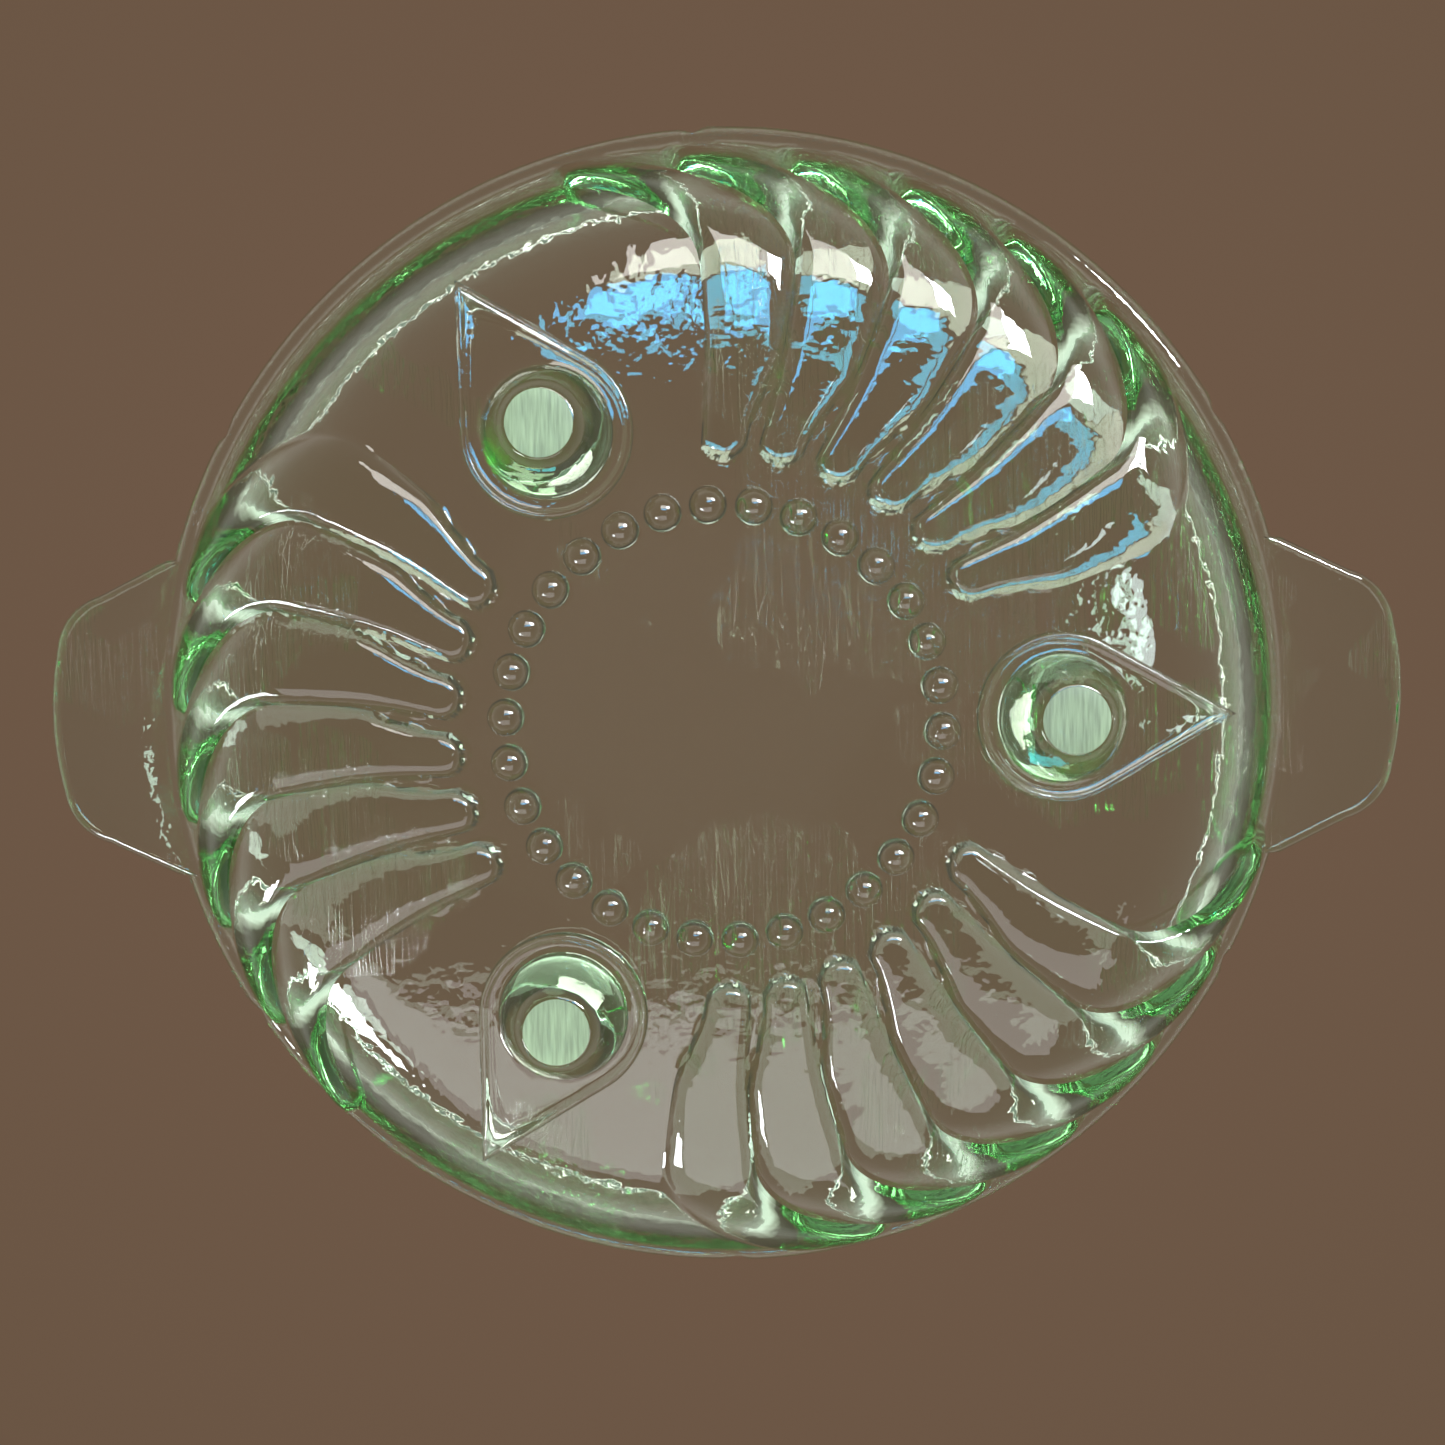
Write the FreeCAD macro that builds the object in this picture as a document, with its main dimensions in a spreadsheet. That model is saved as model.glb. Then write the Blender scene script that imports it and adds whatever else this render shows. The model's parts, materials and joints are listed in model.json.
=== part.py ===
"""Pressed green glass dish with two tab handles, standing on three feet.

Millimetres.  The dish stands the way it is used: the three ground foot tips lie in the plane
z = 0, +Z is up, +X runs from one handle to the other, and the origin is the middle of the plane
that the tips stand on.

The real dish is one pressing.  Each node below is one region of it, divided where the parts of
the mould meet, and each region touches its neighbours face to face.
"""
import FreeCAD, Part
import math
import os

import Sketcher

SIZES = {
    # whole dish
    "rim_diameter": 236.0,
    "rim_top": 70.0,              # height of the rim above the surface that the feet stand on
    "rim_height": 5.0,
    "rim_rounding": 1.8,
    # wall and floor
    "glass_wall": 4.5,
    "foot_height": 10.0,          # from the surface to the underside of the floor
    "floor_radius": 78.0,         # where the flat floor turns up into the shoulder
    "shoulder_radius": 15.0,      # outer radius of that turn
    "rim_step": 4.5,              # how far the rim stands out from the wall under it
    "disc_radius": 41.5,          # plain disc in the middle of the floor
    # swirled flutes
    "flute_count": 6.0,           # in each of the three panels
    "flute_pitch": 11.8,          # degrees
    "flute_start": 43.8,          # radius of the rounded inner ends
    "flute_round": 5.0,           # length of those ends
    "flute_floor_depth": 1.7,
    "flute_wall_depth": 2.6,
    "flute_centre": 63.8,         # azimuth of the middle of the first fluted panel
    "floor_lean": 3.2,            # degrees that the inner ends trail
    "lean_end": 64.0,             # radius at which they have straightened
    "shoulder_turn": 7.0,         # degrees that they turn over the shoulder
    "turn_start": 74.5,           # run along the outside at which that turn starts
    "turn_end": 94.5,
    "wall_turn": 8.5,             # further degrees, evenly from the middle of the shoulder to the rim
    "wall_turn_start": 84.0,
    # ring of beads under the floor
    "bead_count": 30.0,
    "bead_ring_radius": 36.5,
    "bead_azimuth": 3.0,          # direction of the first bead
    "bead_radius": 3.2,
    "bead_height": 1.7,
    # feet and their drop-shaped pads
    "foot_circle_radius": 56.5,
    "foot_base_radius": 10.8,
    "foot_tip_radius": 6.2,
    "pad_radius": 14.2,
    "pad_reach": 28.5,            # from the middle of the foot to the point of the drop
    "pad_height": 0.9,
    # handles
    "handle_reach": 22.0,         # how far a handle stands out from the rim
    "handle_root_width": 65.0,
    "handle_end_width": 50.0,
    "handle_thickness": 5.0,
    "handle_corner": 12.0,
    "handle_seat": 10.0,          # how far the blank reaches inside the rim before it is cut
    # small steps in the outline of the rim, one near each end of a fluted panel
    "notch_centre": 59.0,         # azimuth half-way between the first two steps
    "notch_spread": 62.0,         # degrees between those two
    "notch_radius": 2.2,
    "notch_depth": 1.1,
}
PANELS = 3
PANEL_ANGLE = 360.0 / PANELS
RIM_FADE = 0.6                # share of a flute's depth that is lost by the time it meets the rim
COLUMNS_PER_FLUTE = 10
FLOOR_ROWS, BEND_ROWS, WALL_ROWS = 18, 12, 14

doc = FreeCAD.newDocument("glass_dish")
sheet = doc.addObject("Spreadsheet::Sheet", "Sizes")
for row, (name, value) in enumerate(SIZES.items(), start=1):
    sheet.set(f"A{row}", name)
    sheet.set(f"B{row}", str(value))
    sheet.setAlias(f"B{row}", name)
doc.recompute()


def size(name):
    """A driving size, read from the sheet."""
    return float(getattr(sheet, name))


def bind(obj, **expressions):
    """Bind properties to the sheet; a double underscore stands for a dot in a property's name."""
    for prop, expression in expressions.items():
        obj.setExpression(prop.replace("__", "."), expression)


def primitive(kind, name, **expressions):
    obj = doc.addObject(kind, name)
    bind(obj, **expressions)
    return obj


def origin_plane(body, role):
    return next(f for f in body.Origin.OriginFeatures if f.Role == role)


# ---------------------------------------------------------------- section of the floor and wall

WALL_TOP = "Sizes.rim_top - Sizes.rim_height"


def bend():
    """The bend from floor to wall: its centre's radius and height, and its turn in radians."""
    centre_z = size("foot_height") + size("shoulder_radius")
    top_z = size("rim_top") - size("rim_height")
    top_r = size("rim_diameter") / 2 - size("rim_step")
    across, up = top_r - size("floor_radius"), top_z - centre_z
    tangent = math.atan2(up, across) - math.acos(size("shoulder_radius") / math.hypot(across, up))
    return size("floor_radius"), centre_z, math.pi / 2 + tangent


def bend_end():
    """Run along the outside, from the axis, at which the bend becomes the straight wall."""
    return size("floor_radius") + size("shoulder_radius") * bend()[2]


def wall_end():
    """Run along the outside, from the axis, at which the wall meets the rim."""
    centre_z, turn = bend()[1:]
    low = centre_z - size("shoulder_radius") * math.cos(turn)
    return bend_end() + (size("rim_top") - size("rim_height") - low) / math.sin(turn)


def section_point(run, inset):
    """Radius, height and outward normal after a run from the axis; inset 0 is the outside."""
    bend_r, bend_z, turn = bend()
    angle = min(max((run - bend_r) / size("shoulder_radius"), 0.0), turn)
    normal_r, normal_z = math.sin(angle), -math.cos(angle)
    # the inside of the wall is a little shorter, so that the wall's top edge is level
    shorter = inset / math.tan(turn) / (wall_end() - bend_end())
    beyond = max(run - bend_end(), 0.0) * (1 - shorter)
    radius = size("shoulder_radius") - inset
    r = min(run, bend_r) + radius * normal_r + beyond * math.cos(turn)
    z = bend_z + radius * normal_z + beyond * math.sin(turn)
    return r, z, normal_r, normal_z


def runs():
    """Runs at which the panels are shaped, from the disc to the rim."""
    steps = ((size("disc_radius"), bend()[0], FLOOR_ROWS), (bend()[0], bend_end(), BEND_ROWS),
             (bend_end(), wall_end(), WALL_ROWS))
    places = [low + (high - low) * i / count for low, high, count in steps for i in range(count)]
    return places + [wall_end()]


def smoothstep(low, high, value):
    share = min(max((value - low) / (high - low), 0.0), 1.0)
    return share * share * (3 - 2 * share)


def sweep(run):
    """Degrees that the swirl has turned: a slight lean on the floor, then an S up the wall."""
    lean = size("floor_lean") * (1 - smoothstep(size("flute_start"), size("lean_end"), run))
    shoulder = size("shoulder_turn") * smoothstep(size("turn_start"), size("turn_end"), run)
    risen = (run - size("wall_turn_start")) / (wall_end() - size("wall_turn_start"))
    return -lean - shoulder - size("wall_turn") * max(risen, 0.0)


def flute_height(run, across):
    """How far a flute stands out; across runs from 0 to 1 over the fluted panel."""
    hump = math.sqrt(abs(math.sin(math.pi * across * size("flute_count"))))
    ended = min(1.0, max(0.0, (run - size("flute_start")) / size("flute_round")))
    growth = smoothstep(size("floor_radius"), bend_end(), run)
    depth = size("flute_floor_depth")
    depth += (size("flute_wall_depth") - depth) * growth
    near_rim = 1 - RIM_FADE * smoothstep(bend_end(), wall_end(), run)
    return depth * hump * math.sqrt(ended) * near_rim


def skin(first, last, inset, fluted):
    """One side of a panel as a surface through points on the section, turned by the swirl."""
    columns = int(size("flute_count")) * COLUMNS_PER_FLUTE
    grid = []
    for run in runs():
        r, z, normal_r, normal_z = section_point(run, inset)
        line = []
        for column in range(columns + 1):
            across = column / columns
            out = flute_height(run, across) if fluted else 0.0
            azimuth = math.radians(first + across * (last - first) + sweep(run))
            radius = r + out * normal_r
            height = z + (0.0 if run == wall_end() else out * normal_z)
            point = (radius * math.cos(azimuth), radius * math.sin(azimuth), height)
            line.append(FreeCAD.Vector(*point))
        grid.append(line)
    surface = Part.BSplineSurface()
    surface.interpolate(grid)
    return surface


def panel(label, first, last, fluted):
    """A piece of floor and wall between two azimuths, closed by ruled faces on its four edges."""
    outer = skin(first, last, 0.0, fluted)
    inner = skin(first, last, size("glass_wall"), False)
    low_u, high_u, low_v, high_v = outer.bounds()
    sides = [Part.makeRuledSurface(outer.vIso(low_v).toShape(), inner.vIso(low_v).toShape()),
             Part.makeRuledSurface(outer.vIso(high_v).toShape(), inner.vIso(high_v).toShape()),
             Part.makeRuledSurface(outer.uIso(low_u).toShape(), inner.uIso(low_u).toShape()),
             Part.makeRuledSurface(outer.uIso(high_u).toShape(), inner.uIso(high_u).toShape())]
    shell = Part.makeShell([outer.toShape(), inner.toShape()] + sides)
    shell.sewShape()
    solid = Part.makeSolid(Part.Shell(shell.Faces))
    if solid.Volume < 0:
        solid.reverse()
    piece = doc.addObject("Part::Feature", label)
    piece.Shape = solid
    piece.Label = label
    return piece


# ---------------------------------------------------------------- pieces

def base_disc():
    disc = primitive("Part::Cylinder", "base_disc",
                     Radius="Sizes.disc_radius", Height="Sizes.glass_wall",
                     Placement__Base__z="Sizes.foot_height")
    return disc


def bead_ring():
    """Small domes under the floor, one every 12 degrees when there are 30."""
    ball = "(Sizes.bead_radius ^ 2 + Sizes.bead_height ^ 2) / (2 * Sizes.bead_height)"
    beads = []
    for index in range(int(size("bead_count"))):
        azimuth = f"({index} * 360 deg / Sizes.bead_count + Sizes.bead_azimuth * 1 deg)"
        bead = primitive("Part::Sphere", f"bead_{index + 1}",
                         Radius=ball,
                         Angle1="-90 deg",
                         Angle2=f"-asin(({ball} - Sizes.bead_height) / ({ball}))",
                         Placement__Base__x=f"Sizes.bead_ring_radius * cos({azimuth})",
                         Placement__Base__y=f"Sizes.bead_ring_radius * sin({azimuth})",
                         Placement__Base__z=f"Sizes.foot_height + {ball} - Sizes.bead_height")
        beads.append(bead)
    ring = doc.addObject("Part::Compound", "bead_ring")
    ring.Links = beads
    return ring


def rim():
    """The thick band round the mouth, turned about Z, with six small steps in its outline."""
    body = doc.addObject("PartDesign::Body", "rim_band")
    sketch = body.newObject("Sketcher::SketchObject", "rim_section")
    sketch.AttachmentSupport = (origin_plane(body, "XZ_Plane"), [""])
    sketch.MapMode = "FlatFace"
    inner_r = section_point(wall_end(), size("glass_wall"))[0]
    outer_r = size("rim_diameter") / 2
    top_z, rim_z = size("rim_top") - size("rim_height"), size("rim_top")
    corners = [(inner_r, top_z), (outer_r, top_z), (outer_r, rim_z), (inner_r, rim_z)]
    points = [FreeCAD.Vector(r, z, 0) for r, z in corners]
    for index in range(4):
        sketch.addGeometry(Part.LineSegment(points[index], points[(index + 1) % 4]))
    for index in range(4):
        sketch.addConstraint(Sketcher.Constraint("Coincident", index, 2, (index + 1) % 4, 1))
    for index, direction in enumerate(("Horizontal", "Vertical", "Horizontal", "Vertical")):
        sketch.addConstraint(Sketcher.Constraint(direction, index))
    driven = (("outer", "DistanceX", (-1, 1, 1, 1), outer_r, "Sizes.rim_diameter / 2"),
              ("inner", "DistanceX", (-1, 1, 0, 1), inner_r, inner_radius_expression()),
              ("low", "DistanceY", (-1, 1, 0, 1), top_z, WALL_TOP),
              ("high", "DistanceY", (-1, 1, 2, 1), rim_z, "Sizes.rim_top"))
    for name, kind, where, value, expression in driven:
        index = sketch.addConstraint(Sketcher.Constraint(kind, *where, value))
        sketch.renameConstraint(index, name)
        sketch.setExpression(f"Constraints.{name}", expression)
    turned = body.newObject("PartDesign::Revolution", "rim_turned")
    turned.Profile = sketch
    turned.ReferenceAxis = (sketch, ["V_Axis"])
    turned.Angle = 360.0
    doc.recompute()
    top_edges = [f"Edge{i + 1}" for i, edge in enumerate(turned.Shape.Edges)
                 if edge.BoundBox.ZLength < 1e-6 and abs(edge.BoundBox.ZMax - rim_z) < 1e-6]
    rounded = body.newObject("PartDesign::Fillet", "rim_rounded")
    rounded.Base = (turned, top_edges)
    rounded.setExpression("Radius", "Sizes.rim_rounding")
    body.Tip = rounded

    notches = []
    out = "(Sizes.rim_diameter / 2 + Sizes.notch_radius - Sizes.notch_depth)"
    for index in range(PANELS):
        for side in ("-", "+"):
            azimuth = f"(Sizes.notch_centre + {index * PANEL_ANGLE} " \
                      f"{side} Sizes.notch_spread / 2) * 1 deg"
            notches.append(primitive("Part::Cylinder", f"notch_{len(notches) + 1}",
                                     Radius="Sizes.notch_radius", Height="Sizes.rim_top",
                                     Placement__Base__x=f"{out} * cos({azimuth})",
                                     Placement__Base__y=f"{out} * sin({azimuth})"))
    tools = doc.addObject("Part::Compound", "notches")
    tools.Links = notches
    cut = doc.addObject("Part::Cut", "rim")
    cut.Base, cut.Tool = body, tools
    return cut


def inner_radius_expression():
    """The wall's inner radius at its top, along the same tangent line that bend() works out."""
    across = "(Sizes.rim_diameter / 2 - Sizes.rim_step - Sizes.floor_radius)"
    up = f"({WALL_TOP} - Sizes.foot_height - Sizes.shoulder_radius)"
    turn = f"(90 deg + atan2({up}; {across}) - acos(Sizes.shoulder_radius / hypot({across}; {up})))"
    return f"Sizes.rim_diameter / 2 - Sizes.rim_step - Sizes.glass_wall / sin({turn})"


def foot_pad(number, azimuth):
    """A thin drop-shaped plate round the foot, its point outward."""
    body = doc.addObject("PartDesign::Body", f"foot_pad_{number}")
    sketch = body.newObject("Sketcher::SketchObject", f"pad_outline_{number}")
    sketch.AttachmentSupport = (origin_plane(body, "XY_Plane"), [""])
    sketch.MapMode = "FlatFace"
    radius, reach = size("pad_radius"), size("pad_reach")
    touch = math.acos(radius / reach)
    tangent = FreeCAD.Vector(radius * math.cos(touch), radius * math.sin(touch), 0)
    mirrored = FreeCAD.Vector(tangent.x, -tangent.y, 0)
    point = FreeCAD.Vector(reach, 0, 0)
    circle = Part.Circle(FreeCAD.Vector(), FreeCAD.Vector(0, 0, 1), radius)
    arc = sketch.addGeometry(Part.ArcOfCircle(circle, touch, 2 * math.pi - touch))
    upper = sketch.addGeometry(Part.LineSegment(point, tangent))
    lower = sketch.addGeometry(Part.LineSegment(mirrored, point))
    sketch.addConstraint(Sketcher.Constraint("Coincident", arc, 3, -1, 1))
    sketch.addConstraint(Sketcher.Constraint("Tangent", upper, 2, arc, 1))
    sketch.addConstraint(Sketcher.Constraint("Tangent", arc, 2, lower, 1))
    sketch.addConstraint(Sketcher.Constraint("Coincident", lower, 2, upper, 1))
    sketch.addConstraint(Sketcher.Constraint("PointOnObject", upper, 1, -1))
    index = sketch.addConstraint(Sketcher.Constraint("Radius", arc, radius))
    sketch.renameConstraint(index, "round")
    sketch.setExpression("Constraints.round", "Sizes.pad_radius")
    index = sketch.addConstraint(Sketcher.Constraint("DistanceX", -1, 1, upper, 1, reach))
    sketch.renameConstraint(index, "reach")
    sketch.setExpression("Constraints.reach", "Sizes.pad_reach")
    plate = body.newObject("PartDesign::Pad", f"pad_plate_{number}")
    plate.Profile = sketch
    plate.setExpression("Length", "Sizes.pad_height")
    body.Tip = plate
    bind(body,
         Placement__Base__x=f"Sizes.foot_circle_radius * cos({azimuth} deg)",
         Placement__Base__y=f"Sizes.foot_circle_radius * sin({azimuth} deg)",
         Placement__Base__z="Sizes.foot_height - Sizes.pad_height",
         Placement__Rotation__Angle=f"{azimuth} deg")
    return body


def foot(number, azimuth):
    """A short cone that narrows to the flat, ground tip that the dish stands on."""
    cone = primitive("Part::Cone", f"foot_{number}",
                     Radius1="Sizes.foot_tip_radius", Radius2="Sizes.foot_base_radius",
                     Height="Sizes.foot_height - Sizes.pad_height",
                     Placement__Base__x=f"Sizes.foot_circle_radius * cos({azimuth} deg)",
                     Placement__Base__y=f"Sizes.foot_circle_radius * sin({azimuth} deg)")
    return cone


def handle(label, turned):
    """A flat tab level with the rim, its two outer corners rounded, cut to fit the rim."""
    plate = primitive("Part::Wedge", f"{label}_plate",
                      Xmin="-Sizes.handle_root_width / 2", Xmax="Sizes.handle_root_width / 2",
                      X2min="-Sizes.handle_end_width / 2", X2max="Sizes.handle_end_width / 2",
                      Ymin="Sizes.rim_diameter / 2 - Sizes.handle_seat",
                      Ymax="Sizes.rim_diameter / 2 + Sizes.handle_reach",
                      Zmin="Sizes.rim_top - Sizes.handle_thickness", Zmax="Sizes.rim_top",
                      Z2min="Sizes.rim_top - Sizes.handle_thickness", Z2max="Sizes.rim_top")
    doc.recompute()
    end_y = size("rim_diameter") / 2 + size("handle_reach")
    corners = [i + 1 for i, edge in enumerate(plate.Shape.Edges)
               if edge.BoundBox.ZLength > size("handle_thickness") - 1e-6
               and edge.BoundBox.YMin > end_y - 1e-6]
    rounded = doc.addObject("Part::Fillet", f"{label}_rounded")
    rounded.Base = plate
    corner = size("handle_corner")
    rounded.Edges = [(edge, corner, corner) for edge in corners]
    bore = primitive("Part::Cylinder", f"{label}_rim_seat",
                     Radius="Sizes.rim_diameter / 2", Height="Sizes.rim_top * 2")
    tab = doc.addObject("Part::Cut", label)
    tab.Base, tab.Tool = rounded, bore
    tab.Placement = FreeCAD.Placement(FreeCAD.Vector(), FreeCAD.Rotation(turned, 0, 0))
    return tab


pieces = [base_disc(), bead_ring(), rim()]
span = size("flute_count") * size("flute_pitch")
for number in range(PANELS):
    start = size("flute_centre") - span / 2 + number * PANEL_ANGLE
    pieces.append(panel(f"swirl_panel_{number + 1}", start, start + span, True))
    pieces.append(panel(f"plain_panel_{number + 1}", start + span, start + PANEL_ANGLE, False))
    pieces.append(foot_pad(number + 1, number * PANEL_ANGLE))
    pieces.append(foot(number + 1, number * PANEL_ANGLE))
pieces.append(handle("handle_left", 90))
pieces.append(handle("handle_right", -90))
doc.recompute()

for obj in doc.Objects:
    if {"Invalid", "Error"} & set(obj.State):
        raise RuntimeError(f"{obj.Name} failed: {obj.State}")
os.makedirs("parts", exist_ok=True)
for piece in pieces:
    if piece.Shape.isNull() or not piece.Shape.isValid():
        raise RuntimeError(f"{piece.Label} has no valid shape")
    piece.Shape.exportStep(f"parts/{piece.Label}.step")
    print(piece.Label, len(piece.Shape.Solids), round(piece.Shape.Volume, 1))
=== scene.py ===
"""Pressed pale green glass dish on three feet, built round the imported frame, with its stage.

The dish is one pressing, so its glass is one closed skin: bowl, beads, feet, pads and handles are
made apart and fused, because glass that only touches glass would show its inner faces.
Metres and radians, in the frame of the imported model: feet on z = 0, +Z up, +X along the handles.
"""
import json
import math

import bpy
import numpy as np
from mathutils import Matrix, Vector

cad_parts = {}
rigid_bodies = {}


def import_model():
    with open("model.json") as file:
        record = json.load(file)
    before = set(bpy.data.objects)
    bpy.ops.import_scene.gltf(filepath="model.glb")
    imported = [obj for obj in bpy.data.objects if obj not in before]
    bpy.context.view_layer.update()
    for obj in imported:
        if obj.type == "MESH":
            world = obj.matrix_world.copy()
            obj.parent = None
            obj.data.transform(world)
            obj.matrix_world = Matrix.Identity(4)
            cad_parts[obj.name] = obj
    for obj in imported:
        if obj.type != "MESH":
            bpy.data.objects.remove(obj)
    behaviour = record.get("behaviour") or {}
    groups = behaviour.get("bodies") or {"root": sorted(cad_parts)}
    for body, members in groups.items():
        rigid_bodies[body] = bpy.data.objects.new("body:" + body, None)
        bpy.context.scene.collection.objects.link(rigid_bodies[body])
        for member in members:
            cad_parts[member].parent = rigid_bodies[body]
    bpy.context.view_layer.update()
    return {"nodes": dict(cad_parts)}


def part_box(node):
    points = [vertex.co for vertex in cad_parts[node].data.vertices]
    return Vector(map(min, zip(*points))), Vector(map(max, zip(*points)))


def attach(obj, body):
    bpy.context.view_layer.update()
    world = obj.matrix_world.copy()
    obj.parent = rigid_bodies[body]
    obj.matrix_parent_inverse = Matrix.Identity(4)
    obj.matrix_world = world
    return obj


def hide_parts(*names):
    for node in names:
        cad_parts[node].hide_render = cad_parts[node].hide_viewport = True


bl_info = {
    "name": "Pressed Glass Dish",
    "version": (1, 0, 0),
    "blender": (4, 5, 0),
    "location": "3D View > Sidebar > Dish",
    "description": "Builds a footed dish of pressed green glass and its studio",
    "category": "Add Mesh",
}

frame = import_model()
MM = 0.001

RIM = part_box("rim")
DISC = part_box("base_disc")
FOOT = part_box("foot_1")
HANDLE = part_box("handle_right")
RIM_RADIUS = RIM[1][0]
RIM_TOP = RIM[1][2]
FLOOR_UNDER = DISC[0][2]
FLOOR_TOP = DISC[1][2]
FOOT_CIRCLE = (FOOT[0][0] + FOOT[1][0]) / 2
FOOT_BASE = (FOOT[1][0] - FOOT[0][0]) / 2
PANELS = 3
THIRD = 2 * math.pi / PANELS
GLASS_NODES = list(frame["nodes"])

# how finely the surfaces are divided, and the edges that stay crisp in the shading
COLUMNS_PER_FLUTE = 20
PLAIN_COLUMNS = 54
BEAD_SEGMENTS = 24
FOOT_SEGMENTS = 160
SHARP_EDGE = math.radians(38)


# ------------------------------------------------------------------ what a user would change

class DishSizes(bpy.types.PropertyGroup):
    floor_radius: bpy.props.FloatProperty(
        name="Floor Radius", description="Where the flat floor starts to ease upwards",
        default=70 * MM, unit="LENGTH")
    wall_start: bpy.props.FloatProperty(
        name="Wall Start", description="Run from the axis at which the wall has become straight",
        default=108 * MM, unit="LENGTH")
    rim_step: bpy.props.FloatProperty(
        name="Rim Step", description="How far the rim stands out from the wall under it",
        default=4.5 * MM, unit="LENGTH")
    lip_radius: bpy.props.FloatProperty(
        name="Lip Radius", description="Rounding of the rim's outer and inner edges",
        default=1.7 * MM, unit="LENGTH")
    flute_count: bpy.props.IntProperty(
        name="Flutes", description="Flutes in each of the three swirled panels", default=6)
    flute_pitch: bpy.props.FloatProperty(
        name="Flute Pitch", description="Angle from one flute to the next",
        default=math.radians(11.8), subtype="ANGLE")
    flute_centre: bpy.props.FloatProperty(
        name="Panel Azimuth", description="Direction of the middle of the first swirled panel",
        default=math.radians(63.8), subtype="ANGLE")
    shoulder_turn: bpy.props.FloatProperty(
        name="Shoulder Turn", description="How far the flutes turn over the shoulder",
        default=math.radians(12.7), subtype="ANGLE")
    turn_start: bpy.props.FloatProperty(
        name="Turn Start", description="Run from the axis at which that turn starts",
        default=76.2 * MM, unit="LENGTH")
    turn_end: bpy.props.FloatProperty(
        name="Turn End", description="Run from the axis at which it is made",
        default=104 * MM, unit="LENGTH")
    wall_turn: bpy.props.FloatProperty(
        name="Wall Turn", description="How far they turn besides, evenly from floor to rim",
        default=math.radians(3), subtype="ANGLE")
    floor_lean: bpy.props.FloatProperty(
        name="Floor Lean", description="How far the inner ends of the flutes trail",
        default=math.radians(3.2), subtype="ANGLE")
    flute_start: bpy.props.FloatProperty(
        name="Flute Start", description="Radius of the rounded inner ends",
        default=43.8 * MM, unit="LENGTH")
    finger_width: bpy.props.FloatProperty(
        name="Finger Width", description="Width of a flute at its rounded inner end",
        default=7.6 * MM, unit="LENGTH")
    floor_depth: bpy.props.FloatProperty(
        name="Floor Relief", description="How far a flute stands out under the floor",
        default=2.1 * MM, unit="LENGTH")
    wall_depth: bpy.props.FloatProperty(
        name="Wall Relief", description="How far a flute stands out on the wall",
        default=2.4 * MM, unit="LENGTH")
    bead_count: bpy.props.IntProperty(
        name="Beads", description="Domes in the ring under the floor", default=30)
    bead_circle: bpy.props.FloatProperty(
        name="Bead Circle", description="Radius of the ring of beads",
        default=36.5 * MM, unit="LENGTH")
    bead_azimuth: bpy.props.FloatProperty(
        name="First Bead", description="Direction of the first bead",
        default=math.radians(3), subtype="ANGLE")
    bead_radius: bpy.props.FloatProperty(
        name="Bead Radius", description="Radius of one bead where it meets the floor",
        default=3.2 * MM, unit="LENGTH")
    bead_height: bpy.props.FloatProperty(
        name="Bead Height", description="How far a bead stands out", default=2.6 * MM,
        unit="LENGTH")


class DishGlass(bpy.types.PropertyGroup):
    tint: bpy.props.FloatVectorProperty(
        name="Tint", description="Colour that long paths through the glass take on",
        default=(0.14, 0.99, 0.14), size=3, min=0.0, max=1.0, subtype="COLOR")
    tint_density: bpy.props.FloatProperty(
        name="Tint Density", description="How quickly the colour builds up, per metre",
        default=21.0)
    polish: bpy.props.FloatProperty(
        name="Polished Roughness", description="Roughness of the fire-polished skin",
        default=0.015, min=0.0, max=1.0)
    ground: bpy.props.FloatProperty(
        name="Ground Roughness", description="Roughness of the ground foot tips",
        default=0.42, min=0.0, max=1.0)


# ------------------------------------------------------------------ mesh helpers

def object_from(name, points, faces):
    """A new object of the scene from its points and faces."""
    mesh = bpy.data.meshes.new(name)
    mesh.from_pydata([tuple(p) for p in points], [], faces)
    mesh.validate()
    piece = bpy.data.objects.new(name, mesh)
    bpy.context.scene.collection.objects.link(piece)
    return piece


def closed_loft(name, rings):
    """A closed skin from rings of equal length; its first and last rings are filled."""
    count = len(rings[0])
    points = np.concatenate(rings)
    faces = []
    for row in range(len(rings) - 1):
        for column in range(count):
            beside = (column + 1) % count
            low, high = row * count, (row + 1) * count
            faces.append((low + column, low + beside, high + beside, high + column))
    faces.append(tuple(reversed(range(count))))
    last = (len(rings) - 1) * count
    faces.append(tuple(range(last, last + count)))
    if enclosed(points, faces) < 0:
        faces = [tuple(reversed(face)) for face in faces]
    return object_from(name, points, faces)


def enclosed(points, faces):
    """Signed volume inside the faces; negative where they look inward."""
    total = 0.0
    for face in faces:
        corner = points[face[0]]
        for index in range(1, len(face) - 1):
            total += np.dot(corner, np.cross(points[face[index]], points[face[index + 1]]))
    return total / 6


def smoothstep(low, high, value):
    """0 below low, 1 above high, and an eased rise between them."""
    share = np.clip((value - low) / (high - low), 0.0, 1.0)
    return share * share * (3 - 2 * share)


# ------------------------------------------------------------------ bowl

# run over which a flute widens from its rounded inner end to its full pitch
FINGER_LENGTH = 20 * MM
# exponents of a flute's cross-section on the floor, and their change on the wall
FLOOR_FLATNESS, FLATNESS_LOST = 2.3, 1.2
FLOOR_STEEPNESS, STEEPNESS_GAINED = 0.6, 0.3
# how far the crest leans to one side on the wall; the lean begins past the flute's start and is
# complete past the edge of the flat floor
CREST_SHIFT = 0.42
LEAN_PAST_START, LEAN_PAST_FLOOR = 10 * MM, 18 * MM
# where the relief starts to change from that of the floor to that of the wall
GROWTH_BEFORE_WALL = 4 * MM
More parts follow.
